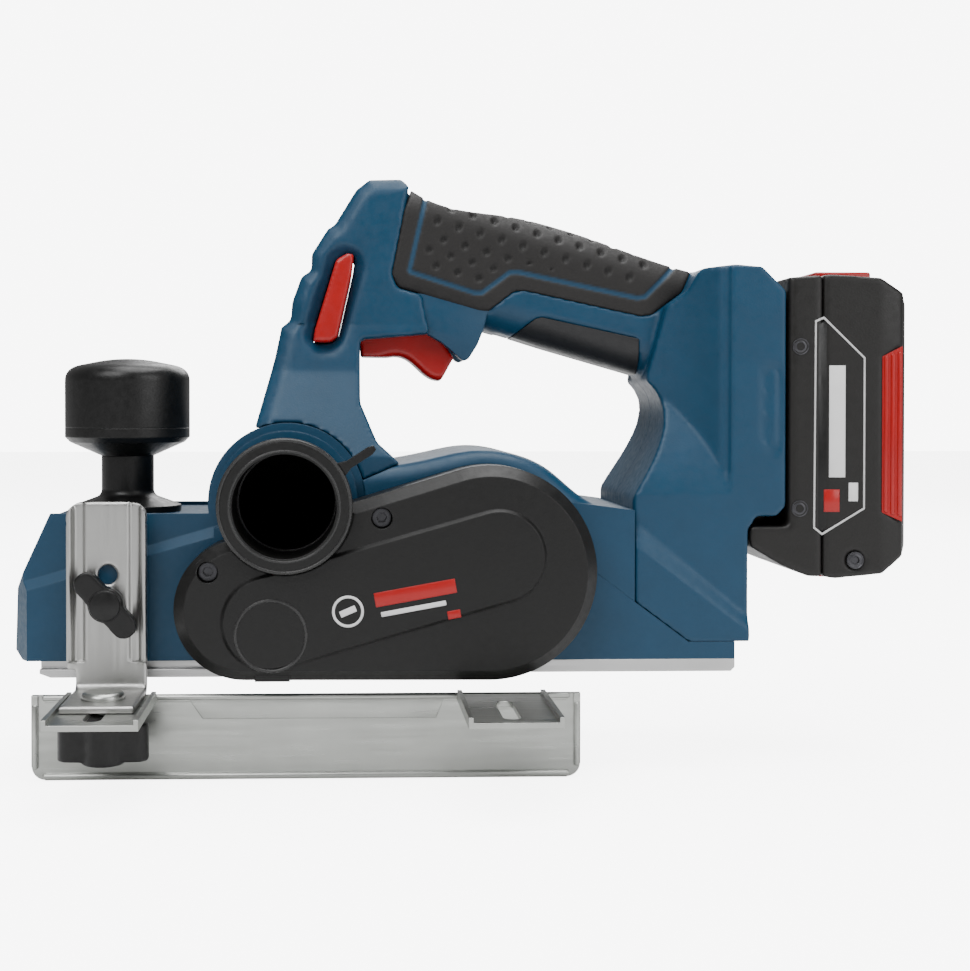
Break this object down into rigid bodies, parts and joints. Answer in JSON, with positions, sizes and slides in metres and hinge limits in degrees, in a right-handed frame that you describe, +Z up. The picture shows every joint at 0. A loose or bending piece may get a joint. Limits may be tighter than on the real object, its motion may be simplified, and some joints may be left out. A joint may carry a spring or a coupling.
{
  "type": "electric hand planer",
  "caption": "Cordless hand planer with D handle, belt-driven cutter drum, front depth knob, side chip port, slide-on battery and a steel edge guide",
  "frame": {"origin": "middle of the rear sole's flat face", "axes": "+Z up, -X towards the nose and the depth knob, -Y the belt side"},
  "size_m": [0.3355, 0.152, 0.2233],
  "materials": {
    "blue_shell": "moulded plastic, fine texture",
    "black_shell": "moulded plastic, fine texture",
    "grip_rubber": "soft overmould with dimples",
    "red_plastic": "satin moulded plastic",
    "shoe_aluminium": "milled",
    "guide_steel": "zinc-plated sheet steel",
    "dark_steel": "blackened screws",
    "bright_steel": "ground steel",
    "brass": "turned",
    "copper": "copper windings and bars",
    "belt_rubber": "ribbed drive belt",
    "board_green": "circuit board",
    "cell_wrap": "shrink-wrapped cells"
  },
  "bodies": {
    "housing": {"base_housing": "blue_shell", "motor_housing": "blue_shell", "handle_shell_left": "blue_shell", "handle_shell_right": "blue_shell", "rear_shoe": "shoe_aluminium", "rear_shoe_screws": "dark_steel", "belt_cover": "black_shell", "belt_cover_screws": "dark_steel", "drive_belt": "belt_rubber", "motor_can": "bright_steel", "motor_bearings": "bright_steel", "drum_bearing_left": "bright_steel", "drum_bearing_right": "bright_steel", "bearing_cap": "shoe_aluminium", "dust_tube": "black_shell", "switch_module": "black_shell", "control_board": "board_green", "terminal_block": "black_shell", "terminal_blades": "copper", "handle_screws": "dark_steel", "grip_left": "grip_rubber", "grip_right": "grip_rubber", "grip_panel_left": "black_shell", "grip_panel_right": "black_shell", "guide_inserts": "brass", "guide_bracket": "guide_steel", "fence_bolt": "guide_steel", "brush_holders": "brass", "trigger_pin": "bright_steel", "trigger_spring": "bright_steel"},
    "cutter": {"cutter_drum": "shoe_aluminium", "drum_shaft": "bright_steel", "planer_blades": "bright_steel", "blade_clamps": "dark_steel", "clamp_screws": "dark_steel", "drum_pulley": "shoe_aluminium"},
    "rotor": {"armature": "bright_steel", "motor_shaft": "bright_steel", "commutator": "copper", "cooling_fan": "black_shell", "motor_pulley": "shoe_aluminium"},
    "front_shoe_body": {"front_shoe": "shoe_aluminium", "shoe_nut": "brass"},
    "depth_knob": {"knob_cap": "black_shell", "knob_cup": "black_shell", "depth_dial": "black_shell", "depth_spindle": "bright_steel"},
    "trigger_body": {"trigger": "red_plastic"},
    "lock_bar": {"lock_off_bar": "red_plastic"},
    "chip_selector": {"chip_deflector": "black_shell", "selector_lever": "black_shell"},
    "battery": {"battery_base": "black_shell", "battery_cover": "black_shell", "battery_side_grips": "red_plastic", "battery_cells": "cell_wrap", "battery_screws": "dark_steel"},
    "battery_button": {"battery_release": "red_plastic"},
    "fence": {"guide_fence": "guide_steel"},
    "fence_knob": {"fence_clamp_knob": "black_shell"},
    "wing_screw": {"guide_wing_screw": "black_shell"}
  },
  "joints": [
    {"name": "cutter_spin", "type": "hinge", "parent": "housing", "child": "cutter", "pos_m": [-0.091, 0, 0.02], "axis": [0, 1, 0], "continuous": true},
    {"name": "motor_spin", "type": "hinge", "parent": "housing", "child": "rotor", "pos_m": [-0.0085, 0, 0.045], "axis": [0, 1, 0], "continuous": true},
    {"name": "front_shoe_lift", "type": "slide", "parent": "housing", "child": "front_shoe_body", "axis": [0, 0, 1], "range_m": [0, 0.0028]},
    {"name": "depth_turn", "type": "hinge", "parent": "housing", "child": "depth_knob", "pos_m": [-0.149, 0, 0.06], "axis": [0, 0, 1], "range_deg": [0, 330]},
    {"name": "trigger_pull", "type": "hinge", "parent": "housing", "child": "trigger_body", "pos_m": [-0.054, 0, 0.1315], "axis": [0, -1, 0], "range_deg": [0, 8], "stiffness_Nm_per_rad": 1.5, "springref_deg": -4.01, "deforming": ["trigger_spring"]},
    {"name": "lock_off_push", "type": "slide", "parent": "housing", "child": "lock_bar", "axis": [0, 1, 0], "range_m": [-0.003, 0.003], "stiffness_N_per_m": 600},
    {"name": "chip_selector_turn", "type": "hinge", "parent": "housing", "child": "chip_selector", "pos_m": [-0.0852, 0, 0.0633], "axis": [0, -1, 0], "range_deg": [0, 114]},
    {"name": "battery_slide", "type": "slide", "parent": "housing", "child": "battery", "axis": [0, 0, -1], "range_m": [0, 0.08]},
    {"name": "battery_release_press", "type": "slide", "parent": "battery", "child": "battery_button", "axis": [0, 0, -1], "range_m": [0, 0.002], "stiffness_N_per_m": 900, "springref_m": -0.002},
    {"name": "fence_slide", "type": "slide", "parent": "housing", "child": "fence", "axis": [0, 1, 0], "range_m": [0, 0.025]},
    {"name": "fence_clamp_turn", "type": "hinge", "parent": "housing", "child": "fence_knob", "pos_m": [-0.1486, -0.0687, -0.018], "axis": [0, 0, 1], "continuous": true},
    {"name": "wing_screw_turn", "type": "hinge", "parent": "housing", "child": "wing_screw", "pos_m": [-0.1498, -0.05, 0.0272], "axis": [0, 1, 0], "continuous": true}
  ],
  "couplings": [
    {"joint": "motor_spin", "follows": "cutter_spin", "ratio": 0.64706},
    {"joint": "depth_turn", "follows": "front_shoe_lift", "rad_per_m": 2056.8}
  ]
}
